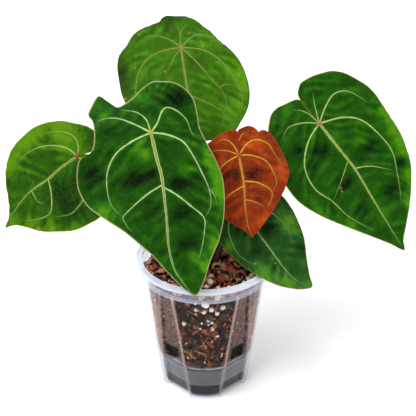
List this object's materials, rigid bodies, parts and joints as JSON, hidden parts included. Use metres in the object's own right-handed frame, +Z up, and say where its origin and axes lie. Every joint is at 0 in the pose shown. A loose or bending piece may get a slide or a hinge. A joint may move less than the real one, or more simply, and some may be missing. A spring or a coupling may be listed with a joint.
{
  "type": "potted anthurium forgetii",
  "caption": "Potted aroid house plant: heart-shaped velvety blades with pale veins on arching stalks, in a clear lobed plastic pot of chunky bark mix.",
  "frame": {"origin": "middle of the bottom of the whole object's box, on the surface that the pot stands on", "axes": "+Z up, +X to the right in the picture along the spread of the leaves, -Y towards the viewer"},
  "size_m": [0.3532, 0.1956, 0.3001],
  "materials": {
    "pot_plastic": "clear frosted moulded plastic",
    "water": "dark still water",
    "false_bottom_plastic": "grey moulded plastic",
    "bark_mix": "rough bark chips and perlite",
    "stem_bark": "matt ringed stem",
    "cataphyll": "dry papery sheath",
    "petiole": "satin green stalk",
    "petiole_young": "satin reddish stalk",
    "blade_front": "velvety dark green leaf",
    "blade_back": "satin mid green leaf",
    "blade_left": "satin bright green leaf",
    "blade_right": "velvety dark green leaf",
    "blade_young": "glossy copper red new leaf",
    "blade_low": "velvety blue green leaf"
  },
  "bodies": {
    "root": {"pot": "pot_plastic", "water": "water", "false_bottom": "false_bottom_plastic", "potting_mix": "bark_mix", "stem": "stem_bark", "cataphyll_outer": "cataphyll", "cataphyll_inner": "cataphyll", "petiole_front": "petiole", "petiole_back": "petiole", "petiole_left": "petiole", "petiole_right": "petiole", "petiole_young": "petiole_young", "petiole_low": "petiole", "blade_front": "blade_front", "blade_back": "blade_back", "blade_left": "blade_left", "blade_right": "blade_right", "blade_young": "blade_young", "blade_low": "blade_low"}
  },
  "joints": []
}
